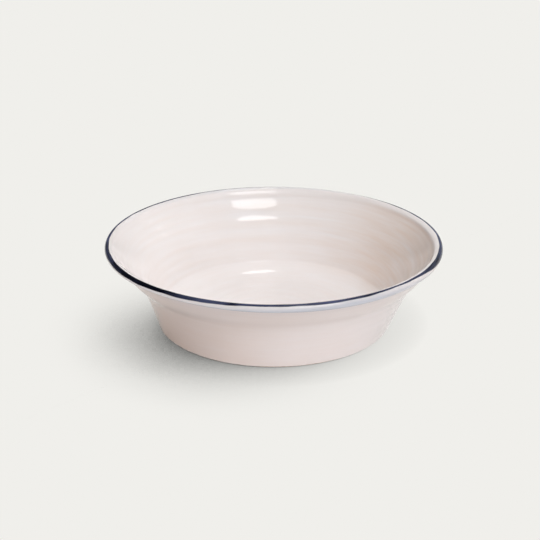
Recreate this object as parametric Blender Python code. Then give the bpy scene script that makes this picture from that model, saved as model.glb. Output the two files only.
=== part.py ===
"""Hand-thrown serving bowl: one fired clay body and the four coats of glaze on it.

The finished outline is drawn once, from the middle of the inside floor, up the wall, over the lip
and down to the foot. The clay lies under it by the coat's thickness and a small bond gap, and each
coat is a thin closed shell along one stretch of it. Everything is turned about Z.

Metres, +Z up, origin at the centre of the foot's underside.
"""
import math

import bmesh
import bpy
from mathutils import Vector

# Outside of the finished bowl
RIM_DIAMETER = 0.270
HEIGHT = 0.0685
FOOT_DIAMETER = 0.1895
BEND_DIAMETER = 0.2160      # where the lines of the steep wall and of the flared rim cross
BEND_HEIGHT = 0.0360
BEND_SHARPNESS = 3.0        # 1 is one even sweep; more draws the wall closer to the crossing

# Lip, an upright oval bead
LIP_THICKNESS = 0.0050
LIP_HEIGHT = 0.0066
LIP_STEP = 0.0009           # ledge under the bead, where it stands out from the flare

# Inside
WALL_THICKNESS = 0.0045     # of the flare and the bend, over both coats
FOOT_WALL_THICKNESS = 0.0088    # of the wall where it stands on the foot, over both coats
FLOOR_HEIGHT = 0.0050       # top of the inside floor above the table
FLOOR_ROUNDING = 0.010      # radius where the floor turns up into the wall

# Foot, bare clay
FOOT_RING_WIDTH = 0.0090
FOOT_EDGE_RADIUS = 0.0010
BARE_FOOT = 0.0008          # bare clay above the rounded edge, up to where the glaze starts
RECESS_DEPTH = 0.0006       # from the table up to the glazed base inside the ring

# Coats
GLAZE_THICKNESS = 0.0005
BOND_GAP = 0.0003           # clearance between a coat and the clay, and between two coats

# Fineness
SEGMENTS = 64
WALL_POINTS = 8
LIP_QUARTER_POINTS = 3      # steps in a quarter turn of the lip
ROUNDING_POINTS = 5
EDGE_POINTS = 3
MERGE_DISTANCE = 1e-7       # joins the points that the turning leaves stacked on the axis
SHARP_ANGLE = math.radians(40)

COAT = GLAZE_THICKNESS + BOND_GAP
OUT = Vector((1.0, 0.0))
TABLE = Vector((0.0, 0.0))


def clear_scene():
    for item in list(bpy.data.objects):
        bpy.data.objects.remove(item, do_unlink=True)


def surface(name, colour, roughness):
    material = bpy.data.materials.new(name)
    material.use_nodes = True
    shader = material.node_tree.nodes["Principled BSDF"]
    shader.inputs["Base Color"].default_value = (*colour, 1.0)
    shader.inputs["Roughness"].default_value = roughness
    shader.inputs["Metallic"].default_value = 0.0
    return material


def bare_clay():
    return surface("bare_clay", (0.62, 0.54, 0.46), 0.75)


def white_glaze(name):
    return surface(name, (0.84, 0.78, 0.75), 0.12)


def blue_glaze():
    return surface("blue_glaze", (0.03, 0.04, 0.10), 0.15)


# Plane geometry. A section point is (radius, height).

def right_of(direction):
    """The unit normal on the right-hand side of a direction: the clay's side of the outline."""
    return Vector((direction.y, -direction.x)).normalized()


def crossing(point, direction, other, other_direction):
    """Where two straight lines cross."""
    side = right_of(other_direction)
    along = (other - point).dot(side) / direction.dot(side)
    return point + direction * along


def sweep(start, corner, end, sharpness, count):
    """Points of a conic arc from start to end, which leaves and arrives along lines to the corner."""
    points = []
    for step in range(count):
        t = step / (count - 1)
        weights = ((1 - t) ** 2, 2 * sharpness * t * (1 - t), t ** 2)
        points.append((start * weights[0] + corner * weights[1] + end * weights[2]) / sum(weights))
    return points


def rounding(before, corner, after, radius, count):
    """Points of a round arc that takes the place of a corner."""
    back = (before - corner).normalized()
    ahead = (after - corner).normalized()
    half = back.angle(ahead) / 2
    reach = radius / math.tan(half)
    centre = corner + (back + ahead).normalized() * (radius / math.sin(half))
    first = corner + back * reach - centre
    turn = first.angle_signed(corner + ahead * reach - centre)
    points = []
    for step in range(count):
        angle = -turn * step / (count - 1)
        swung = Vector((
            first.x * math.cos(angle) - first.y * math.sin(angle),
            first.x * math.sin(angle) + first.y * math.cos(angle),
        ))
        points.append(centre + swung)
    return points


def inset(points, depth):
    """The outline moved towards the clay by depth, with its corners mitred."""
    moved = []
    last = len(points) - 1
    for index, point in enumerate(points):
        before = right_of(points[max(index, 1)] - points[max(index, 1) - 1])
        after = right_of(points[min(index, last - 1) + 1] - points[min(index, last - 1)])
        middle = (before + after).normalized()
        moved.append(point + middle * (depth / middle.dot(after)))
    return moved


# Section of the finished bowl

wall_foot = Vector((FOOT_DIAMETER / 2, 0.0))
bend = Vector((BEND_DIAMETER / 2, BEND_HEIGHT))
lip_centre = Vector(((RIM_DIAMETER - LIP_THICKNESS) / 2, HEIGHT - LIP_HEIGHT / 2))
flare_end = Vector((lip_centre.x - LIP_STEP, HEIGHT - LIP_HEIGHT))
wall_line = (bend - wall_foot).normalized()
flare_line = (flare_end - bend).normalized()
wall_inward = right_of(-wall_line)
flare_inward = right_of(-flare_line)


def lip_point(angle):
    """A point of the lip's oval: 0 faces out, a quarter turn is the crest."""
    return lip_centre + Vector((LIP_THICKNESS / 2 * math.cos(angle), LIP_HEIGHT / 2 * math.sin(angle)))


def lip_inner_angle():
    """Where the lip's oval runs in the direction of the flare, on the inside."""
    return math.atan2(flare_line.x * LIP_HEIGHT, -flare_line.y * LIP_THICKNESS)


def inside_section():
    """Inside floor and wall, from the axis up to just under the lip's inner edge."""
    inner_wall = wall_foot + wall_inward * WALL_THICKNESS
    inner_flare = flare_end + flare_inward * WALL_THICKNESS
    corner = crossing(inner_wall, wall_line, inner_flare, flare_line)
    inner_foot = wall_foot + wall_inward * FOOT_WALL_THICKNESS
    floor_middle = Vector((0.0, FLOOR_HEIGHT))
    floor_corner = crossing(floor_middle, OUT, inner_foot, corner - inner_foot)
    edge = lip_point(lip_inner_angle())
    top = edge + (corner - edge).normalized() * BOND_GAP
    turn = rounding(floor_middle, floor_corner, corner, FLOOR_ROUNDING, ROUNDING_POINTS)
    return [floor_middle] + turn[:-1] + sweep(turn[-1], corner, top, BEND_SHARPNESS, WALL_POINTS)


def lip_section():
    """Lip, from its inner edge over the crest to the ledge under the bead."""
    crest = math.pi / 2
    edge = lip_inner_angle()
    steps = range(LIP_QUARTER_POINTS, -LIP_QUARTER_POINTS - 1, -1)
    angles = [edge, (edge + crest) / 2] + [crest * step / LIP_QUARTER_POINTS for step in steps]
    return [lip_point(angle) for angle in angles] + [flare_end + OUT * BOND_GAP]


def foot_edge():
    """Rounded outer edge of the bare clay foot, from the wall down to the table."""
    clay_foot = crossing(wall_foot + wall_inward * COAT, wall_line, TABLE, OUT)
    return rounding(clay_foot + wall_line, clay_foot, clay_foot - OUT, FOOT_EDGE_RADIUS, EDGE_POINTS)


def outside_section():
    """Outside wall, from under the lip down to where the glaze stops above the foot."""
    stop = foot_edge()[0] + wall_line * BARE_FOOT - wall_inward * COAT
    return sweep(flare_end, bend, stop, BEND_SHARPNESS, WALL_POINTS)


def recess_corner():
    """Upper corner of the clay recess inside the foot ring."""
    return Vector((foot_edge()[-1].x - FOOT_RING_WIDTH, RECESS_DEPTH + COAT))


def clay_section(covered):
    """The clay under the coats, then the bare foot and the recess, back to the axis."""
    corner = recess_corner()
    ring_inner = Vector((corner.x, 0.0))
    edge = rounding(ring_inner + OUT, ring_inner, corner, FOOT_EDGE_RADIUS, EDGE_POINTS)
    return covered + foot_edge() + edge + [corner, Vector((0.0, corner.y))]


def base_section():
    """Coat on the recess: its upper face, its edge and its lower face, axis to axis."""
    reach = recess_corner().x - BOND_GAP
    lower = RECESS_DEPTH
    upper = RECESS_DEPTH + GLAZE_THICKNESS
    return [Vector((0.0, upper)), Vector((reach, upper)), Vector((reach, lower)), Vector((0.0, lower))]


def turned(name, section, ring, material):
    """One closed body turned from a section: a ring's ends join, and others end on the axis."""
    mesh = bpy.data.meshes.new(name)
    shape = bmesh.new()
    corners = [shape.verts.new((point.x, 0.0, point.y)) for point in section]
    edges = [shape.edges.new(pair) for pair in zip(corners, corners[1:])]
    if ring:
        edges.append(shape.edges.new((corners[-1], corners[0])))
    bmesh.ops.spin(shape, geom=corners + edges, cent=(0, 0, 0), axis=(0, 0, 1),
                   angle=math.tau, steps=SEGMENTS, use_merge=True)
    bmesh.ops.remove_doubles(shape, verts=shape.verts, dist=MERGE_DISTANCE)
    bmesh.ops.recalc_face_normals(shape, faces=shape.faces)
    shape.to_mesh(mesh)
    shape.free()
    mesh.shade_smooth()
    mesh.set_sharp_from_angle(angle=SHARP_ANGLE)
    mesh.materials.append(material)
    body = bpy.data.objects.new(name, mesh)
    bpy.context.scene.collection.objects.link(body)
    return body


def build():
    clear_scene()
    inside = inside_section()
    lip = lip_section()
    outside = outside_section()
    finished = inside + lip + outside
    back = inset(finished, GLAZE_THICKNESS)
    lip_from = len(inside)
    outside_from = lip_from + len(lip)

    turned("clay_body", clay_section(inset(finished, COAT)), False, bare_clay())
    turned("inside_glaze", inside + back[:lip_from][::-1], False, white_glaze("inside_white"))
    turned("rim_band", lip + back[lip_from:outside_from][::-1], True, blue_glaze())
    turned("outside_glaze", outside + back[outside_from:][::-1], True, white_glaze("outside_white"))
    turned("base_glaze", base_section(), False, white_glaze("base_white"))


build()
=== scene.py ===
"""Looks of the hand-thrown serving bowl: its glazes, its blue lip and its bare clay foot.

The finished outline runs from the middle of the inside floor, up the wall, over the lip and down to
where the glaze stops. It is drawn once for every azimuth, with the throwing rings and the hand's
unevenness in it, and then cut into the coats of glaze. The clay lies under them.

Metres, +Z up. Azimuth 0 is the bowl's right side (+X), and the camera stands at three quarters of a
turn (-Y).
"""
import math

import bpy
import numpy as np
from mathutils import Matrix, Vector


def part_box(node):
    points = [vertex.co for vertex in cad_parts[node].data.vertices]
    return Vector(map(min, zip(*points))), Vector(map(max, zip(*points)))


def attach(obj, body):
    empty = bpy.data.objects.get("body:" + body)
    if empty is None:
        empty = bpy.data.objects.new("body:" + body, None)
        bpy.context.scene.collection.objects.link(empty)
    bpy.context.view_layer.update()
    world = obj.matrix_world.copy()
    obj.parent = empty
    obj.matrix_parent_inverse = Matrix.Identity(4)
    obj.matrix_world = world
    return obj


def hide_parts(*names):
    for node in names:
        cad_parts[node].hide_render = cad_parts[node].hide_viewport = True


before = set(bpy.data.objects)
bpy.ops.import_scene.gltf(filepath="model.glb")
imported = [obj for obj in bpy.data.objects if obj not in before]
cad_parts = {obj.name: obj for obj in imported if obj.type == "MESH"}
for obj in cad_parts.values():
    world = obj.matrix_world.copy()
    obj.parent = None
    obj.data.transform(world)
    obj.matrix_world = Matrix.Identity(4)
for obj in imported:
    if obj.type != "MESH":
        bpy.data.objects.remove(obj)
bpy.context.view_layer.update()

# Sizes that the frame gives
RIM_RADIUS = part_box("rim_band")[1].x
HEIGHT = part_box("rim_band")[1].z
GLAZE_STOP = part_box("outside_glaze")[0].z
BASE_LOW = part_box("base_glaze")[0].z
BASE_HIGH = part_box("base_glaze")[1].z
BASE_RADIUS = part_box("base_glaze")[1].x
GLAZE_THICKNESS = BASE_HIGH - BASE_LOW
FLOOR_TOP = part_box("inside_glaze")[0].z + GLAZE_THICKNESS

# Outline. Of two values, the first is for the bowl's left side, where the wall's bend is drawn in
# sharply, and the second for its right, where the bend sweeps more widely.
FOOT_RADIUS = 0.09475
BEND_RADIUS = (0.1066, 0.1105)
BEND_HEIGHT = (0.0374, 0.0405)
BEND_SHARPNESS = (4.0, 3.0)
FLARE_BULGE = (0.0001, 0.0006)      # of the flare's outside, between the lip and the bend
RIGHT_BULGE = 0.0014        # added to it at the right
LEFT_BULGE = 0.0009         # and at the front left
BULGE_LEAN = 1.3            # more than 1 moves the bulge from the middle towards the bend
BELLY = 0.0018              # by which the bend stands out further, at the front right
WALL_THICKNESS = 0.0045     # of the wall just under the bend
FOOT_WALL_THICKNESS = 0.0088
FLOOR_RISE = 0.040          # radius of the floor's slow rise towards the wall
FLOOR_RISE_ANGLE = math.radians(36)
FLOOR_ROUNDING = 0.0035     # radius from there into the wall

# Lip, a bead: half an oval outside, and inside a round shoulder and a short slope above a hollow
LIP_OUTER = 0.0025          # from the crest out to the rim
LIP_HEIGHT = 0.0066
LIP_STEP = 0.0012           # ledge under the bead, outside
LEDGE_LIFT = 0.0022         # by which the ledge lies higher, at the front left
GROOVE_DEPTH = 0.0003       # under the ledge
GROOVE_WIDTH = 0.0014
DEEPER_STEP = 0.0012        # by which the ledge is wider, at the front right
SHOULDER_RADIUS = (0.0050, 0.0085)      # in general, and at the back
SLOPE_LENGTH = (0.0004, 0.0022)
HOLLOW_WIDTH = 0.0036       # from the slope's end down to the flare
HOLLOW_DEPTH = 0.0008       # of the flare behind the slope; almost none on the left
PAINT_REACH = 0.0046        # of the crest's inner side, by which the paint's edge is measured
PAINT_EDGES = (58, 102)     # of the blue, in degrees round the lip: 0 faces out, and 90 is the crest

# Foot
FOOT_EDGE_RADIUS = 0.0010
CLAY_GAP = 0.0001           # between the clay and the coats

# Throwing rings. All but the dabs are turns of a spiral.
BROAD_PITCH = 0.0150
BROAD_HEIGHT = 0.00025
BROAD_AT = 0.0086           # from the lip down to where a broad ring at the back faces most upwards
BROAD_TURN = 0.274          # where that is, as a share of a turn from the right
BROAD_REACH = 0.040         # from the lip down to where the broad rings start to fade
DAB_PITCH = 0.0075          # of the rings at the back left
DAB_HEIGHT = 0.00009
DAB_AT = 0.0010             # from the lip down to where one of them faces most upwards
FINE_PITCH = 0.0050
FINE_HEIGHT = 0.00002
FINE_SWELL = 0.0061         # over which the fine rings swell and fade
FLOOR_PITCH = 0.0110
FLOOR_SPIRAL = 0.00004
OUTER_PITCH = 0.0098
OUTER_HEIGHT = 0.00022
OUTER_FINE_SHARE = 0.15     # of the fine rings' height, outside
BASE_PITCH = 0.0080         # of the spiral under the base
BASE_SPIRAL = 0.00004

# Unevenness of the rim, which fades towards the foot
RIM_SWAY = 0.00022          # up and down, round the rim
RIM_OVAL = 0.00065          # wider from left to right, and as much shorter from front to back
RIM_SHIFT = 0.00035         # of the whole rim to the left

# Fineness
COLUMNS = 288
FLOOR_ROWS = 56
WALL_ROWS = 190
LIP_ROWS = 64
OUTSIDE_ROWS = 130
BACK_STEP = 4               # the hidden faces keep one row in this many
CURVE_POINTS = 400
ROUNDED_ROWS = 9            # each side of the lip's two edges
SOFTEN_PASSES = 6
CREASE_ROWS = (25, 110)     # below the ledge, round the bend outside
CREASE_PASSES = 24
EDGE_ROWS = 7               # round a small edge of the foot or the base
FOOT_RING_ROWS = 6          # across the foot ring's underside
BASE_ROWS = 40              # across the base's glaze, on the side that shows
HIDDEN_BASE_ROWS = 12       # across its back, and across the clay over it
SHARP_ANGLE = math.radians(50)

# Glaze. A cover of 1 is thick and pale, and at 0 the clay shows through. The thin colour also serves as
# painted shade, inside at the right and outside at the left.
GLAZE_THIN_AND_SHADED = (0.80, 0.645, 0.55)
GLAZE_THICK = (0.880, 0.841, 0.838)
EVEN_COVER = 0.85
RIDGE_LOSS = 0.10           # of cover, on the ridge of a broad ring
THIN_AND_SHADE_LOSS = 0.55            # of cover, where the glaze ran thin and where shade is painted
STREAK_SIZE = (0.045, 0.0030)   # round the bowl, and across the rings
STREAK_STRENGTH = 1.4
CLOUD_SIZE = 0.060          # of wide, soft patches
CLOUD_STRENGTH = 0.3
RIPPLE_SIZE = 0.0035        # of the melted surface
RIPPLE_HEIGHT = 0.00015
RIPPLE_STRENGTH = 0.10
GLOSS_SIZE = 0.012          # of smoother and rougher patches
GLOSS_ROUGHNESS = (0.03, 0.03)  # at the smoothest, and what the roughest adds
SPECULAR = 0.5              # level of the white glaze
GLAZE_IOR = 1.5

# How strongly streaks show in the glaze
INSIDE_STREAK = 0.20
THIN_AND_SHADE_STREAK = 0.40          # added inside where the glaze ran thin and shade is painted
OUTSIDE_STREAK = 0.15
BASE_STREAK = 0.30

# Painted highlight: a pale ring in the thin glaze and painted shade inside at the right, where the ring
# at the bend catches the light
HIGHLIGHT_RING_AT = 0.022        # from the lip down to it
HIGHLIGHT_RING_TURN = 0.19       # where that is, as an angle from the right
HIGHLIGHT_RING_RISE = 0.016      # towards the back, in each radian
HIGHLIGHT_RING_WIDTH = 0.0026

# Blue paint and bare clay
NAVY_THIN = (0.092, 0.105, 0.195)
NAVY_THICK = (0.002, 0.003, 0.008)
# The pale wash is partly a real thin blue and partly painted shade, deepest on the bead's underside and
# behind its crest at the back.
PALE_WASH_AND_SHADE = (0.60, 0.62, 0.68)
BRUSH_SIZE = (0.012, 0.0008)    # of the brush's streaks, round the bowl and across
NAVY_SPECULAR_LOSS = 0.35   # of the white glaze's level, under full blue
WASH_AND_SHADE_STRENGTH = 0.9
WASH_GRAIN = 0.3            # by which the brush's streaks show in the wash
EDGE_GRAIN = 0.5            # and by which they fray the blue's edge
EDGE_RANGE = (0.25, 0.75)   # share of blue at which it starts, and at which it covers
CLAY_DARK = (0.58, 0.43, 0.32)
CLAY_PALE = (0.76, 0.63, 0.51)
CLAY_WARM = (0.64, 0.48, 0.35)
SAND_SIZE = 0.0009
SAND_HEIGHT = 0.0002
SAND_STRENGTH = 0.5
SAND_RANGE = (0.35, 0.65)   # of the noise, from the dark grains to the pale ones
CLAY_PATCH_SIZE = 0.010
CLAY_WARM_SHARE = 0.5       # of the warm tone, in a full patch
CLAY_ROUGHNESS = (0.70, 0.15)   # at the smoothest, and what a full patch adds

# Camera, fitted to the bowl's outline in the photo
CAMERA_PLACE = (-0.0033, -0.9616, 0.4339)
CAMERA_PITCH = math.radians(22.21)
CAMERA_LENS = 85.03
SENSOR_WIDTH = 36.0

# Light. A level is what a lamp adds to a white surface that faces it.
BACKDROP = (0.871, 0.863, 0.831)        # of the floor and of what is behind it, as seen
FLOOR_PAPER = (0.890, 0.850, 0.850)     # by which the floor gives light back to the bowl
CONTACT_REACH = 0.10        # how far the bowl darkens the floor
CONTACT_LEAN = (1.97, 1.38)     # the floor's light leans from the right and the back
CONTACT_OPEN = (0.245, 0.9)     # share of open sky where the shadow is deepest, and where it ends
CONTACT_FALL = 3.4          # more draws the shadow closer to the bowl
CLOSE_REACH = 0.030         # the same, of the narrow shadow at the foot
CLOSE_LEAN = (-1.04, 0.60)
CLOSE_SHARE = 0.17          # by which it darkens the floor at most
FLOOR_REACH = 30.0          # half the floor's width
FLOOR_DROP = 0.0002         # by which the floor lies under the foot
WHITE = (1.0, 1.0, 1.0)
FILL_LEVEL = 0.005          # of the even light from all round
ROOM_LEVELS = (0.06, 0.45)      # what the glaze mirrors on the left, and on the right
ROOM_EDGES = (-0.4, 0.5)        # sideways directions between which it turns from one to the other
LAMP_DISTANCE = 12.0
PANEL_SIZE = (0.50, 0.40)       # width and height, as shares of the lamp's distance
TABLE_SIZE = (0.80, 0.80)

UP = (0.0, 0.0, 1.0)
azimuth = np.arange(COLUMNS) * math.tau / COLUMNS


# Plane geometry. A section point is (radius, height), one for each column.

def columns_of(radius, height):
    """One section point for each column."""
    return np.stack(np.broadcast_arrays(radius, height, azimuth)[:2], axis=-1).astype(float)


def unit(vector):
    return vector / np.linalg.norm(vector, axis=-1, keepdims=True)


def left_of(direction):
    """Normal on the left of a direction: the side of the outline away from the clay."""
    return np.stack((-direction[..., 1], direction[..., 0]), axis=-1)


def turn_between(first, second):
    return first[..., 0] * second[..., 1] - first[..., 1] * second[..., 0]


def crossing(point, along, other, other_along):
    """Where two straight lines cross."""
    share = turn_between(other - point, other_along) / turn_between(along, other_along)
    return point + along * share[..., None]


def sweep(start, corner, end, sharpness):
    """Points of a conic arc that leaves and arrives along lines to the corner."""
    t = np.linspace(0.0, 1.0, CURVE_POINTS)[:, None, None]
    weights = ((1 - t) ** 2, 2 * sharpness[:, None] * t * (1 - t), t ** 2)
    return (start * weights[0] + corner * weights[1] + end * weights[2]) / sum(weights)


def distance_along(points):
    steps = np.linalg.norm(np.diff(points, axis=0), axis=-1)
    return np.concatenate((np.zeros((1, points.shape[1])), np.cumsum(steps, axis=0)))


def even(points, count):
    """The same curve in evenly spaced points."""
    along = distance_along(points)
    shares = np.linspace(0.0, 1.0, count)
    made = np.empty((count, points.shape[1], 2))
    for column in range(points.shape[1]):
        at = shares * along[-1, column]
        for axis in range(2):
            made[:, column, axis] = np.interp(at, along[:, column], points[:, column, axis])
    return made


def fade(value, low, high):
    """0 up to low, 1 from high on, and a smooth step between."""
    share = np.clip((value - low) / (high - low), 0.0, 1.0)
    return share * share * (3 - 2 * share)


def waves(angle, *terms):
    """Sum of slow waves round the bowl, each (count, phase, height)."""
    return sum(height * np.cos(count * angle + phase) for count, phase, height in terms)


def bumps(*terms):
    """Sum of bumps round the bowl, each (azimuth in degrees, width, height)."""
    total = np.zeros(COLUMNS)
    for at, width, height in terms:
        away = (np.degrees(azimuth) - at + 180) % 360 - 180
        total = total + height * np.exp(-(away / width) ** 2)
    return total


# Finished outline

rightness = (1 + np.cos(azimuth)) / 2
bend_share = rightness + bumps((283, 38, 0.43))


def by_side(values):
    """A value for each azimuth, from the left side's to the right side's, which the front shares."""
    left, right = values
    return left + (right - left) * bend_share


wall_foot = columns_of(FOOT_RADIUS, 0.0)
bend = columns_of(by_side(BEND_RADIUS) + bumps((340, 40, BELLY)), by_side(BEND_HEIGHT))
bend_sharpness = by_side(BEND_SHARPNESS)
lip_centre = columns_of(RIM_RADIUS - LIP_OUTER, HEIGHT - LIP_HEIGHT / 2)
lip_step = LIP_STEP + bumps((340, 35, DEEPER_STEP))
lip_drop = LIP_HEIGHT / 2 - bumps((215, 45, LEDGE_LIFT))
flare_end = lip_centre - columns_of(lip_step, lip_drop)
wall_line = unit(bend - wall_foot)
flare_line = unit(flare_end - bend)


def arc(start, radius, first, last):
    """Points of an arc that climbs from a start, its slope turning from the first angle to the last."""
    angles = first + np.linspace(0.0, 1.0, CURVE_POINTS)[:, None] * (last - first)
    across = np.sin(angles) - np.sin(first)
    up = np.cos(first) - np.cos(angles)
    return start + radius * np.stack((across, up), axis=-1)


def floor_turn(corner, wall):
    """Slow rise and round turn that take the place of the corner between floor and wall."""
    climb = np.arctan2(wall[:, 1], wall[:, 0])
    level = np.zeros(COLUMNS)
    tilted = np.full(COLUMNS, FLOOR_RISE_ANGLE)
    rise = arc(columns_of(0.0, 0.0), FLOOR_RISE, level, tilted)
    turn = arc(rise[-1], FLOOR_ROUNDING, tilted, climb)
    path = np.concatenate((rise[:-1], turn))
    reach = path[-1, :, 0] - path[-1, :, 1] / np.tan(climb)
    return corner + path - columns_of(reach, 0.0)


def shoulder():
    """Inner half of the lip: a short slope in line with the flare, then a round turn to the crest."""
    climb = np.arctan2(flare_line[:, 1], flare_line[:, 0])
    crest = lip_centre + np.array((0.0, LIP_HEIGHT / 2))
    radius = SHOULDER_RADIUS[0] + bumps((105, 40, SHOULDER_RADIUS[1] - SHOULDER_RADIUS[0]))
    slope = SLOPE_LENGTH[0] + bumps((105, 40, SLOPE_LENGTH[1] - SLOPE_LENGTH[0]))
    turn = arc(columns_of(0.0, 0.0), -radius[:, None], climb, np.zeros(COLUMNS))
    turn = crest + turn - turn[-1]
    return np.concatenate(((turn[0] - flare_line * slope[:, None])[None], turn))


def inside_wall():
    """From the floor's edge up the wall and the flare, through the hollow, to the lip's inner edge."""
    inner_wall = wall_foot + left_of(wall_line) * WALL_THICKNESS
    edge = shoulder()[0]
    hollow = HOLLOW_DEPTH * (1 - bumps((185, 55, 0.85)))
    inner_flare = edge - left_of(flare_line) * hollow[:, None]
    corner = crossing(inner_wall, wall_line, inner_flare, flare_line)
    inner_foot = wall_foot + left_of(wall_line) * FOOT_WALL_THICKNESS
    climb_line = unit(corner - inner_foot)
    floor = columns_of(0.0, FLOOR_TOP)
    turn = floor_turn(crossing(floor, columns_of(1.0, 0.0), inner_foot, climb_line), climb_line)
    climb = sweep(turn[-1], corner, inner_flare - flare_line * HOLLOW_WIDTH, bend_sharpness)
    return np.concatenate((turn[:-1], climb, edge[None]))


def lip():
    """From the lip's inner edge over the crest to the ledge under the bead."""
    angles = np.linspace(math.pi / 2, -math.pi / 2, CURVE_POINTS)[1:, None] + np.zeros(COLUMNS)
    reach = np.where(angles > 0, LIP_HEIGHT / 2, lip_drop)
    oval = np.stack((LIP_OUTER * np.cos(angles), reach * np.sin(angles)), axis=-1)
    return np.concatenate((shoulder(), lip_centre + oval, flare_end[None]))


def outside_wall():
    """From the ledge under the lip down to where the glaze stops, an uneven line."""
    uneven = waves(azimuth, (5, 0.4, 0.00012), (13, 2.0, 0.00010), (31, 1.0, 0.00007))
    stop_height = GLAZE_STOP + uneven
    stop = wall_foot + wall_line * (stop_height / wall_line[:, 1])[:, None]
    return sweep(flare_end, bend, stop, bend_sharpness)


def soften(points, low, high, passes):
    """Rounds the rows from low to high, as glaze does with a crease."""
    for _ in range(passes):
        near = (points[low - 1:high - 1] + points[low + 1:high + 1]) / 2
        points[low:high] = (points[low:high] + near) / 2
    return points


def normals(points):
    return left_of(unit(np.gradient(points, axis=0)))


wall_rows = even(inside_wall(), WALL_ROWS)
floor_shares = np.linspace(0.0, 1.0, FLOOR_ROWS, endpoint=False)[:, None, None]
floor_rows = columns_of(0.0, FLOOR_TOP) * (1 - floor_shares) + wall_rows[0] * floor_shares
lip_rows = even(lip(), LIP_ROWS)[1:]
outside_rows = even(outside_wall(), OUTSIDE_ROWS)[1:]
outline = np.concatenate((floor_rows, wall_rows, lip_rows, outside_rows))
LIP_FROM = FLOOR_ROWS + WALL_ROWS - 1
LEDGE = LIP_FROM + LIP_ROWS - 1
outline = soften(outline, LIP_FROM - ROUNDED_ROWS, LIP_FROM + ROUNDED_ROWS, SOFTEN_PASSES)
outline = soften(outline, LEDGE - ROUNDED_ROWS, LEDGE + ROUNDED_ROWS, SOFTEN_PASSES)
outline = soften(outline, LEDGE + CREASE_ROWS[0], LEDGE + CREASE_ROWS[1], CREASE_PASSES)

along = distance_along(outline)
rows = np.arange(len(outline))[:, None]
angle = np.broadcast_to(azimuth, along.shape)
angle_from_right = (angle + math.pi) % math.tau - math.pi
below_lip = along[LIP_FROM] - along
below_ledge = along - along[LEDGE]
from_floor_edge = along - along[FLOOR_ROWS]
on_inside = rows < LIP_FROM
on_outside = rows > LEDGE


def inside_relief():
    """Rings of the inside wall: broad at the back and right, dabs at the back left, and fine ones."""
    on_wall = fade(from_floor_edge, 0.020, 0.032) * fade(below_lip, 0.0, 0.004)
    turns = angle / math.tau
    broad = np.sin(math.tau * ((below_lip - BROAD_AT) / BROAD_PITCH + turns - BROAD_TURN))
    broad = broad * BROAD_HEIGHT * (0.6 + 0.4 * fade(below_lip, 0.016, 0.024))
    broad = broad * (0.08 + bumps((95, 36, 0.92), (10, 40, 0.30)))
    broad = broad * (1 - fade(below_lip, BROAD_REACH, BROAD_REACH + 0.02))
    drift = waves(angle, (1, 0.6, 0.10), (2, 2.2, 0.08), (3, 4.0, 0.05))
    fine = np.sin(math.tau * (below_lip / FINE_PITCH + turns + drift))
    swell = 0.45 * np.sin(below_lip / FINE_SWELL + 2 * angle)
    strength = 1 + swell + waves(angle, (3, 1.0, 0.25), (5, 0.2, 0.2))
    strength = strength * (1 - bumps((0, 50, 0.5), (148, 22, 0.7), (109, 17, 0.7)))
    dab = np.sin(math.tau * (below_lip - DAB_AT) / DAB_PITCH) * DAB_HEIGHT * bumps((148, 20, 1.0))
    return on_wall * (broad + dab + fine * FINE_HEIGHT * strength)


def floor_relief():
    """Finger spiral on the floor, which fades towards the wall."""
    wobble = 0.6 * np.sin(3 * angle)
    spiral = np.sin(math.tau * (along / FLOOR_PITCH - angle / math.tau) + wobble)
    on_floor = fade(along, 0.004, 0.016) * (1 - fade(from_floor_edge, -0.012, 0.004))
    return spiral * on_floor * FLOOR_SPIRAL


def outside_relief():
    """Bulge of the flare, a groove under the ledge, and ridges that are strongest on the right."""
    turns = angle / math.tau
    ridge = np.sin(math.tau * (below_ledge / OUTER_PITCH - turns))
    on_flare = fade(below_ledge, 0.002, 0.008) * (1 - fade(below_ledge, 0.040, 0.060))
    strength = 0.03 + bumps((345, 30, 0.30))
    wobble = 0.8 * np.sin(2 * angle)
    fine = np.sin(math.tau * (below_ledge / FINE_PITCH - turns) + wobble)
    on_wall = fade(below_ledge, 0.002, 0.008) * (1 - fade(below_ledge, 0.055, 0.068))
    to_bend = np.clip(below_ledge / np.linalg.norm(flare_end - bend, axis=-1), 0.0, 1.0)
    bulge = by_side(FLARE_BULGE) + bumps((350, 22, RIGHT_BULGE), (212, 42, LEFT_BULGE))
    bulge = bulge * np.sin(math.pi * to_bend ** BULGE_LEAN) ** 2
    bulge = bulge - GROOVE_DEPTH * np.exp(-(below_ledge / GROOVE_WIDTH) ** 2)
    ridge = ridge * OUTER_HEIGHT * strength * on_flare
    return bulge + ridge + fine * FINE_HEIGHT * OUTER_FINE_SHARE * on_wall


plain_outline = outline
relief = np.where(on_inside, floor_relief(), 0.0)
relief = relief + np.where(on_inside & (rows >= FLOOR_ROWS), inside_relief(), 0.0)
relief = relief + np.where(on_outside, outside_relief(), 0.0)
outline = outline + normals(outline) * relief[..., None]
sway = waves(angle, (2, 0.9, 0.7), (3, 2.4, 0.3)) * RIM_SWAY * (outline[..., 1] / HEIGHT) ** 2
outline[..., 1] += sway
unround = RIM_OVAL * np.cos(2 * angle) - RIM_SHIFT * np.cos(angle)
outline[..., 0] += unround * (outline[..., 1] / HEIGHT) ** 2 * fade(outline[..., 0], 0.05, 0.09)


# Bodies

def in_space(section):
    """Section points of all columns as points in space."""
    radius = section[..., 0]
    return np.stack((radius * np.cos(azimuth), radius * np.sin(azimuth), section[..., 1]), axis=-1)


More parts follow.
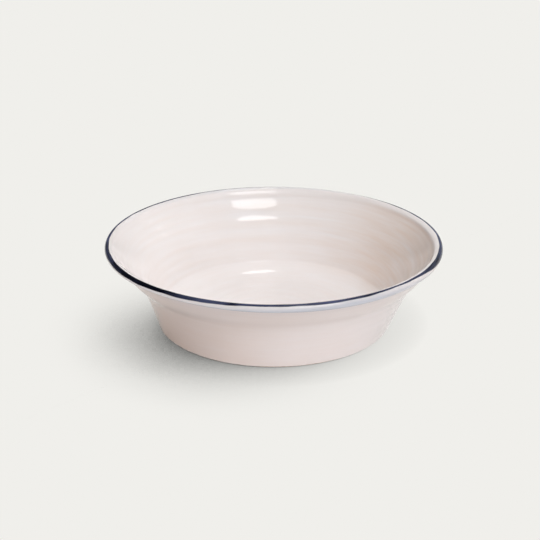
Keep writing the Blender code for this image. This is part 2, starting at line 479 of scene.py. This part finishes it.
def turned(name, section, values, ring):
    """One closed body from rows of section points: a ring's ends join, and others end on the axis."""
    points = in_space(section)
    count = len(points)
    on_axis = [not ring and row in (0, count - 1) for row in range(count)]
    first = []
    corners = []
    kept = []
    for row in range(count):
        first.append(sum(map(len, corners)))
        width = 1 if on_axis[row] else COLUMNS
        corners.append(points[row, :width])
        kept.append({key: value[row, :width] for key, value in values.items()})
    faces = []
    column = np.arange(COLUMNS)
    following = (column + 1) % COLUMNS
    pairs = [(row, (row + 1) % count) for row in range(count if ring else count - 1)]
    for row, after in pairs:
        here = first[row]
        there = first[after]
        if on_axis[row]:
            corner = np.full(COLUMNS, here)
            faces += np.stack((corner, there + column, there + following), axis=-1).tolist()
        elif on_axis[after]:
            corner = np.full(COLUMNS, there)
            faces += np.stack((here + column, corner, here + following), axis=-1).tolist()
        else:
            quads = (here + column, there + column, there + following, here + following)
            faces += np.stack(quads, axis=-1).tolist()
    mesh = bpy.data.meshes.new(name)
    mesh.from_pydata(np.concatenate(corners).tolist(), [], faces)
    for key in values:
        data = np.concatenate([row[key] for row in kept])
        kind = "FLOAT_VECTOR" if data.ndim == 2 else "FLOAT"
        field = "vector" if data.ndim == 2 else "value"
        layer = mesh.attributes.new(key, kind, "POINT")
        layer.data.foreach_set(field, np.ascontiguousarray(data, dtype=np.float32).ravel())
    mesh.validate()
    mesh.shade_smooth()
    mesh.set_sharp_from_angle(angle=SHARP_ANGLE)
    body = bpy.data.objects.new(name, mesh)
    bpy.context.scene.collection.objects.link(body)
    return body


def thinned(count):
    """Row numbers of a hidden face, the ends included."""
    return sorted({*range(0, count, BACK_STEP), count - 1})


def thin_glaze_and_painted_shade():
    """Where the glaze ran thin and the clay shows in it, and painted shade on the sides away from the
    lamps: inside at the right, outside at the left.
    """
    # Inside at the right: thin glaze and painted shade on the wall turned away from the lamps.
    inside = bumps((12, 40, 1.0)) * fade(below_lip, -0.001, 0.003) * fade(from_floor_edge, 0.010, 0.036)
    # A painted highlight along the ring at the bend: less of the thin glaze and painted shade there.
    highlight_ring_at = HIGHLIGHT_RING_AT - HIGHLIGHT_RING_RISE * (angle_from_right - HIGHLIGHT_RING_TURN)
    ring = np.exp(-((below_lip - highlight_ring_at) / HIGHLIGHT_RING_WIDTH) ** 2)
    inside = inside - ring * bumps((8, 28, 0.35))
    # Outside at the left: thin glaze and painted shade on the side away from the lamps.
    outside = bumps((205, 52, 1.0), (188, 20, 0.4)) * fade(below_ledge, -0.005, -0.002)
    on_flare = fade(below_ledge, 0.000, 0.003) * (1 - fade(below_ledge, 0.018, 0.034))
    # Less of it on the flare at the front left, which paints that flare lighter.
    outside = outside - bumps((244, 17, 0.35)) * on_flare
    return np.where(on_inside, inside, outside)


outward = normals(outline)
thin_and_shade = thin_glaze_and_painted_shade()
surface_values = {
    "relief": np.clip(relief / BROAD_HEIGHT, -1, 1),
    "wrap": np.stack((np.cos(angle) * RIM_RADIUS, np.sin(angle) * RIM_RADIUS, along), axis=-1),
    "thin_and_shade": thin_and_shade,
    "streak": np.where(on_inside, INSIDE_STREAK + THIN_AND_SHADE_STREAK * thin_and_shade, OUTSIDE_STREAK),
}


def coat(name, low, high, ring, extra=None):
    """A coat of glaze on the outline's rows from low to high, both included."""
    values = {**surface_values, **(extra or {})}
    span = slice(low, high + 1)
    back = thinned(high - low + 1)[::-1]
    back_rows = (outline - outward * GLAZE_THICKNESS)[span][back]
    kept = {key: np.concatenate((value[span], value[span][back])) for key, value in values.items()}
    return turned(name, np.concatenate((outline[span], back_rows)), kept, ring)


def clay():
    """The clay under the coats, its bare foot and the recess, back to the axis."""
    covered = outline - outward * (GLAZE_THICKNESS + CLAY_GAP)
    covered = covered[thinned(len(covered))]
    covered[0, :, 0] = 0.0
    table = columns_of(0.0, 0.0)
    foot = crossing(covered[-1], wall_line, table, columns_of(1.0, 0.0))
    edge = FOOT_EDGE_RADIUS
    quarter_turn = np.linspace(0.0, math.pi / 2, EDGE_ROWS)
    ring_inner = BASE_RADIUS + GLAZE_THICKNESS
    ring_outer = foot[:, 0] - edge
    lower = []
    for swing in quarter_turn:
        lower.append(foot + np.array((-edge * (1 - math.cos(swing)), edge * (1 - math.sin(swing)))))
    for share in np.linspace(0.15, 0.85, FOOT_RING_ROWS):
        lower.append(columns_of(ring_outer + (ring_inner + edge - ring_outer) * share, 0.0))
    for swing in quarter_turn:
        radius = ring_inner + edge * (1 - math.sin(swing))
        lower.append(columns_of(radius, edge * (1 - math.cos(swing))))
    for share in np.linspace(1.0, 0.0, HIDDEN_BASE_ROWS):
        lower.append(columns_of(ring_inner * share, BASE_HIGH + CLAY_GAP))
    section = np.concatenate((covered, np.stack(lower)))
    return turned("clay_bowl", section, {}, False)


def base_coat():
    """Glaze on the underside, inside the foot ring, with a rounded edge and a faint spiral."""
    half = GLAZE_THICKNESS / 2
    reach = BASE_RADIUS - half
    made = [columns_of(reach * share, BASE_HIGH) for share in np.linspace(0.0, 1.0, HIDDEN_BASE_ROWS)]
    for swing in np.linspace(math.pi / 2, -math.pi / 2, EDGE_ROWS)[1:-1]:
        height = BASE_LOW + half + half * math.sin(swing)
        made.append(columns_of(reach + half * math.cos(swing), height))
    for share in np.linspace(1.0, 0.0, BASE_ROWS):
        spiral = np.sin(math.tau * reach * share / BASE_PITCH + azimuth)
        strength = fade(share, 0.02, 0.1) * fade(1 - share, 0.0, 0.1)
        made.append(columns_of(reach * share, BASE_LOW + BASE_SPIRAL * spiral * strength))
    section = np.stack(made)
    radius = section[..., 0]
    values = {
        "relief": np.zeros_like(radius),
        "thin_and_shade": np.zeros_like(radius),
        "streak": np.full_like(radius, BASE_STREAK),
        "wrap": np.stack((radius * np.cos(azimuth), radius * np.sin(azimuth), -radius), axis=-1),
    }
    return turned("base_glaze_coat", section, values, False)


# Paint on the lip

def lip_paint():
    """Where blue lies on the outline, how thickly, and where a pale wash of it runs past its edges. The
    wash also stands in for painted shade on the bead's underside and behind its crest at the back.
    """
    from_centre = plain_outline - lip_centre
    across = from_centre[..., 0] / np.where(from_centre[..., 0] > 0, LIP_OUTER, PAINT_REACH)
    degrees = np.degrees(np.arctan2(from_centre[..., 1] / (LIP_HEIGHT / 2), across))
    lower = PAINT_EDGES[0] + bumps((214, 26, -34), (244, 13, -22), (185, 20, -25))
    lower = lower + bumps((345, 17, -58), (90, 60, -15), (283, 20, -14))
    lower = lower + waves(angle, (9, 0.3, 3.0), (23, 1.4, 2.0), (41, 2.2, 1.5))
    upper = PAINT_EDGES[1] + bumps((75, 28, -24), (315, 40, -10), (125, 18, 4))
    upper = upper + waves(angle, (7, 1.9, 2.0), (29, 0.2, 1.5))
    inside = fade(upper - degrees, -5, 6)
    outside = fade(degrees - lower, -10, 8)
    load = 0.5 + bumps((222, 22, 0.6), (250, 7, -0.4), (257, 2, 0.5), (290, 6, -0.3), (301, 7, 0.3))
    load = load + bumps((340, 12, 0.3), (180, 15, -0.1), (0, 18, -0.2), (190, 12, 0.15))
    load = load + waves(angle, (17, 0.7, 0.06), (37, 0.1, 0.05))
    # More wash towards the bead's underside as painted shade, and a paler band just under the blue as a
    # painted highlight.
    wash_and_shade = fade(upper - degrees, 0, 20) * (0.25 + 0.75 * fade(lower - degrees, 15, 75))
    wash_and_shade = wash_and_shade * bumps((278, 40, 1.1), (350, 40, 0.5), (232, 22, 0.7))
    wash_and_shade = wash_and_shade + 0.45 * fade(upper - degrees, 0, 20) * bumps((295, 16, 1.0))
    # Behind the crest at the back, wash as painted shade on the bead.
    shade_past_crest = fade(degrees - upper, -5, 10) * (1 - fade(degrees - upper, 25, 60))
    wash_and_shade = wash_and_shade + 0.35 * shade_past_crest * bumps((100, 50, 1.0))
    return {"blue": inside * outside, "load": np.broadcast_to(load, degrees.shape), "wash_and_shade": wash_and_shade}


# Materials

def node(tree, kind, inputs=None, **settings):
    """A new node with its settings, and its inputs set to values or linked to sockets."""
    made = tree.nodes.new(kind)
    for key, value in settings.items():
        setattr(made, key, value)
    for key, value in (inputs or {}).items():
        if isinstance(value, bpy.types.NodeSocket):
            tree.links.new(value, made.inputs[key])
        else:
            made.inputs[key].default_value = value
    return made


def blank_material(name):
    material = bpy.data.materials.new(name)
    material.use_nodes = True
    material.node_tree.nodes.clear()
    return material


def attribute(tree, name, output="Fac"):
    return node(tree, "ShaderNodeAttribute", attribute_name=name).outputs[output]


def maths(tree, operation, first, second=0.0, clamp=False):
    inputs = {0: first, 1: second}
    return node(tree, "ShaderNodeMath", inputs, operation=operation, use_clamp=clamp).outputs[0]


def scaled(tree, value, factor):
    return maths(tree, "MULTIPLY", value, factor)


def opaque(colour):
    """A colour with its alpha, or a socket as it is."""
    return (*colour, 1.0) if isinstance(colour, tuple) else colour


def blend(tree, share, first, second):
    """Colour mixed from first to second by a share."""
    inputs = {0: share, 6: opaque(first), 7: opaque(second)}
    return node(tree, "ShaderNodeMix", inputs, data_type="RGBA").outputs[2]


def between(tree, value, low, high, at_low=0.0, at_high=1.0):
    """Turns a value from low to high into one from at_low to at_high, and keeps it within them."""
    ranged = node(tree, "ShaderNodeMapRange", {"Value": value, "From Min": low, "From Max": high,
                  "To Min": at_low, "To Max": at_high})
    return ranged.outputs["Result"]


def streaks(tree, around, across):
    """Noise drawn out along the throwing rings, about 0, with its sizes in metres."""
    scale = node(tree, "ShaderNodeVectorMath", {0: attribute(tree, "wrap", "Vector"),
                 1: (1 / around, 1 / around, 1 / across)}, operation="MULTIPLY")
    noise = node(tree, "ShaderNodeTexNoise", {"Vector": scale.outputs[0], "Scale": 1.0, "Detail": 3.0,
                 "Roughness": 0.55})
    return maths(tree, "SUBTRACT", noise.outputs["Fac"], 0.5)


def speckle(tree, size, detail=2.0):
    """Even noise in space from 0 to 1, with its grain size in metres."""
    place = node(tree, "ShaderNodeTexCoord").outputs["Object"]
    noise = node(tree, "ShaderNodeTexNoise", {"Vector": place, "Scale": 1 / size, "Detail": detail})
    return noise.outputs["Fac"]


def white_colour(tree):
    """Off-white glaze: thick and pale in the hollows, thin and warmer on the ridges, and warmer and
    darker where thin glaze and painted shade lie.
    """
    cover = maths(tree, "ADD", scaled(tree, attribute(tree, "relief"), -RIDGE_LOSS), EVEN_COVER)
    cover = maths(tree, "SUBTRACT", cover, scaled(tree, attribute(tree, "thin_and_shade"), THIN_AND_SHADE_LOSS))
    fine = scaled(tree, streaks(tree, *STREAK_SIZE), attribute(tree, "streak"))
    cover = maths(tree, "ADD", cover, scaled(tree, fine, STREAK_STRENGTH))
    cloud = maths(tree, "SUBTRACT", speckle(tree, CLOUD_SIZE), 0.5)
    cover = maths(tree, "ADD", cover, scaled(tree, cloud, CLOUD_STRENGTH), clamp=True)
    return blend(tree, cover, GLAZE_THIN_AND_SHADED, GLAZE_THICK)


def glaze_shader(tree, colour, specular):
    """Glossy coat over a colour, with a faint ripple of the melt."""
    ripple = node(tree, "ShaderNodeBump", {"Height": speckle(tree, RIPPLE_SIZE),
                  "Strength": RIPPLE_STRENGTH, "Distance": RIPPLE_HEIGHT})
    smooth, rougher = GLOSS_ROUGHNESS
    roughness = maths(tree, "ADD", scaled(tree, speckle(tree, GLOSS_SIZE), rougher), smooth)
    shader = node(tree, "ShaderNodeBsdfPrincipled", {"Base Color": colour, "Roughness": roughness,
                  "Normal": ripple.outputs["Normal"], "IOR": GLAZE_IOR, "Specular IOR Level": specular})
    node(tree, "ShaderNodeOutputMaterial", {"Surface": shader.outputs["BSDF"]})


def white_glaze(name):
    material = blank_material(name)
    tree = material.node_tree
    glaze_shader(tree, white_colour(tree), SPECULAR)
    return material


def lip_glaze():
    """White glaze that a brush of cobalt crosses, dark at the crest and pale below it, with a blue-grey
    wash that is partly painted shade.
    """
    material = blank_material("lip_blue")
    tree = material.node_tree
    grain = streaks(tree, *BRUSH_SIZE)
    load = maths(tree, "ADD", attribute(tree, "load"), grain, clamp=True)
    navy = blend(tree, load, NAVY_THIN, NAVY_THICK)
    wash_and_shade = scaled(tree, attribute(tree, "wash_and_shade"), WASH_AND_SHADE_STRENGTH)
    wash_and_shade = maths(tree, "ADD", wash_and_shade, scaled(tree, grain, WASH_GRAIN), clamp=True)
    pale = blend(tree, wash_and_shade, white_colour(tree), PALE_WASH_AND_SHADE)
    edge = maths(tree, "ADD", attribute(tree, "blue"), scaled(tree, grain, EDGE_GRAIN))
    covered = between(tree, edge, *EDGE_RANGE)
    specular = maths(tree, "SUBTRACT", SPECULAR, scaled(tree, covered, NAVY_SPECULAR_LOSS))
    glaze_shader(tree, blend(tree, covered, pale, navy), specular)
    return material


def bare_clay():
    """Fired clay with a sandy grain."""
    material = blank_material("bare_clay")
    tree = material.node_tree
    sand = speckle(tree, SAND_SIZE, detail=4.0)
    patch = speckle(tree, CLAY_PATCH_SIZE)
    colour = blend(tree, between(tree, sand, *SAND_RANGE), CLAY_DARK, CLAY_PALE)
    colour = blend(tree, scaled(tree, patch, CLAY_WARM_SHARE), colour, CLAY_WARM)
    bump = node(tree, "ShaderNodeBump", {"Height": sand, "Strength": SAND_STRENGTH,
                "Distance": SAND_HEIGHT})
    smooth, rougher = CLAY_ROUGHNESS
    roughness = maths(tree, "ADD", scaled(tree, patch, rougher), smooth)
    shader = node(tree, "ShaderNodeBsdfPrincipled", {"Base Color": colour, "Roughness": roughness,
                  "Normal": bump.outputs["Normal"]})
    node(tree, "ShaderNodeOutputMaterial", {"Surface": shader.outputs["BSDF"]})
    return material


def dressed(body, material, cad_node):
    """Gives a body its material and its place in the frame."""
    body.data.materials.append(material)
    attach(body, "root")
    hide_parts(cad_node)
    return body


inside_coat = coat("inside_glaze_coat", 0, LIP_FROM, False)
lip_coat = coat("lip_band_coat", LIP_FROM, LEDGE, True, lip_paint())
outside_coat = coat("outside_glaze_coat", LEDGE, len(outline) - 1, True)
pieces = [
    dressed(inside_coat, white_glaze("inside_white"), "inside_glaze"),
    dressed(lip_coat, lip_glaze(), "rim_band"),
    dressed(outside_coat, white_glaze("outside_white"), "outside_glaze"),
    dressed(clay(), bare_clay(), "clay_body"),
    dressed(base_coat(), white_glaze("base_white"), "base_glaze"),
]


# Studio

def in_camera(tree):
    """1 for what the camera sees directly."""
    return node(tree, "ShaderNodeLightPath").outputs["Is Camera Ray"]


def in_mirror(tree):
    """1 for what is seen mirrored or through glass."""
    path = node(tree, "ShaderNodeLightPath")
    return maths(tree, "MAXIMUM", path.outputs["Is Glossy Ray"], path.outputs["Is Transmission Ray"])


def mixed_shader(tree, share, first, second):
    """Shader that turns from first to second by a share."""
    return node(tree, "ShaderNodeMixShader", {0: share, 1: first, 2: second}).outputs[0]


def open_sky(tree, reach, lean):
    """Share of the sky round a leaning direction that nothing hides within a reach."""
    towards = node(tree, "ShaderNodeCombineXYZ", {0: lean[0], 1: lean[1], 2: 1.0}).outputs[0]
    inputs = {"Distance": reach, "Normal": towards}
    return node(tree, "ShaderNodeAmbientOcclusion", inputs).outputs["AO"]


def floor_paper():
    """Pale paper that is seen in its own colour, but for the bowl's shadow, and lights the bowl."""
    material = blank_material("floor_paper")
    tree = material.node_tree
    wide_open = between(tree, open_sky(tree, CONTACT_REACH, CONTACT_LEAN), *CONTACT_OPEN)
    deep = maths(tree, "POWER", maths(tree, "SUBTRACT", 1.0, wide_open), CONTACT_FALL)
    close_dark = maths(tree, "SUBTRACT", 1.0, open_sky(tree, CLOSE_REACH, CLOSE_LEAN))
    close = scaled(tree, close_dark, CLOSE_SHARE)
    shade = maths(tree, "SUBTRACT", 1.0, maths(tree, "ADD", deep, close))
    seen = node(tree, "ShaderNodeEmission", {"Color": opaque(BACKDROP), "Strength": shade}).outputs[0]
    lit = node(tree, "ShaderNodeBsdfDiffuse", {"Color": opaque(FLOOR_PAPER)}).outputs[0]
    seen_share = maths(tree, "MAXIMUM", in_camera(tree), in_mirror(tree))
    node(tree, "ShaderNodeOutputMaterial", {"Surface": mixed_shader(tree, seen_share, lit, seen)})
    return material


def floor_plane():
    """A wide floor just under the foot."""
    signs = ((-1, -1), (1, -1), (1, 1), (-1, 1))
    corners = [(x * FLOOR_REACH, y * FLOOR_REACH, -FLOOR_DROP) for x, y in signs]
    mesh = bpy.data.meshes.new("floor")
    mesh.from_pydata(corners, [], [(0, 1, 2, 3)])
    mesh.materials.append(floor_paper())
    plane = bpy.data.objects.new("floor", mesh)
    bpy.context.scene.collection.objects.link(plane)
    return plane


def from_angles(turn, lift):
    """Direction with an azimuth and an elevation in degrees."""
    turn = math.radians(turn)
    lift = math.radians(lift)
    return (math.cos(turn) * math.cos(lift), math.sin(turn) * math.cos(lift), math.sin(lift))


def group(name, members):
    made = bpy.data.collections.new(name)
    for member in members:
        made.objects.link(member)
    return made


def softbox(name, direction, size, level, lit, matt=True, gloss=True, shadow=True):
    """A far lamp, seen from the bowl as wide and high as the size's two shares of its distance.

    It lights only the group given. Without gloss it isn't mirrored in the glaze, and without matt it
    is only mirrored.
    """
    lamp = bpy.data.lights.new(name, "AREA")
    lamp.shape = "ELLIPSE"
    lamp.size = size[0] * LAMP_DISTANCE
    lamp.size_y = size[1] * LAMP_DISTANCE
    lamp.energy = level * math.pi ** 2 * LAMP_DISTANCE ** 2
    holder = bpy.data.objects.new(name, lamp)
    towards = Vector(direction).normalized()
    holder.location = towards * LAMP_DISTANCE
    holder.rotation_euler = towards.to_track_quat("Z", "Y").to_euler()
    holder.visible_camera = False
    lamp.use_shadow = shadow
    holder.visible_diffuse = matt
    holder.visible_glossy = gloss
    holder.light_linking.receiver_collection = lit
    bpy.context.scene.collection.objects.link(holder)


def background(tree, colour, strength):
    inputs = {"Color": opaque(colour), "Strength": strength}
    return node(tree, "ShaderNodeBackground", inputs).outputs[0]


def studio_world():
    """Even fill light, which the glaze mirrors as a room that is dark on the left."""
    world = bpy.data.worlds.new("studio")
    world.use_nodes = True
    tree = world.node_tree
    tree.nodes.clear()
    place = node(tree, "ShaderNodeTexCoord").outputs["Generated"]
    sideways = node(tree, "ShaderNodeSeparateXYZ", {0: place}).outputs["X"]
    fill = background(tree, WHITE, FILL_LEVEL)
    room = background(tree, WHITE, between(tree, sideways, *ROOM_EDGES, *ROOM_LEVELS))
    backdrop = background(tree, BACKDROP, 1.0)
    unseen = mixed_shader(tree, in_mirror(tree), fill, room)
    chosen = mixed_shader(tree, in_camera(tree), unseen, backdrop)
    node(tree, "ShaderNodeOutputWorld", {"Surface": chosen})
    bpy.context.scene.world = world


def camera():
    made = bpy.data.cameras.new("camera")
    made.sensor_width = SENSOR_WIDTH
    made.lens = CAMERA_LENS
    made.clip_end = 100.0
    holder = bpy.data.objects.new("camera", made)
    holder.location = CAMERA_PLACE
    holder.rotation_euler = (math.pi / 2 - CAMERA_PITCH, 0.0, 0.0)
    bpy.context.scene.collection.objects.link(holder)
    bpy.context.scene.camera = holder


bowl = group("bowl", pieces)
lip_only = group("lip", [lip_coat])
floor_only = group("stage", [floor_plane()])
studio_world()
for name, turn, lift, level in (
    ("front_panel", -70, 40, 0.65),
    ("low_panel", -30, 6, 0.06),
    ("side_panel", 45, 25, 0.37),
    ("back_panel", 90, 70, 0.20),
    ("top_panel", -160, 70, 0.18),
    ("left_panel", 150, 30, 0.06),
):
    softbox(name, from_angles(turn, lift), PANEL_SIZE, level, bowl, gloss=False)
softbox("table_top", UP, TABLE_SIZE, 0.33, floor_only)
softbox("table_glow", UP, TABLE_SIZE, 0.70, floor_only, shadow=False)
softbox("lip_light", from_angles(125, 12), PANEL_SIZE, 0.55, lip_only, gloss=False)
softbox("front_strip", (0.42, -0.83, 0.36), (0.60, 0.30), 0.30, lip_only, matt=False)
softbox("overhead_box", (0.168, -0.25, 0.955), (0.37, 0.33), 0.157, bowl, matt=False)
softbox("back_box", (0.065, 0.485, 0.875), (0.14, 0.23), 0.033, bowl, matt=False)
softbox("side_slit", (0.655, 0.44, 0.61), (0.20, 0.06), 0.0065, bowl, matt=False)
camera()
bpy.context.scene.view_settings.view_transform = "Standard"
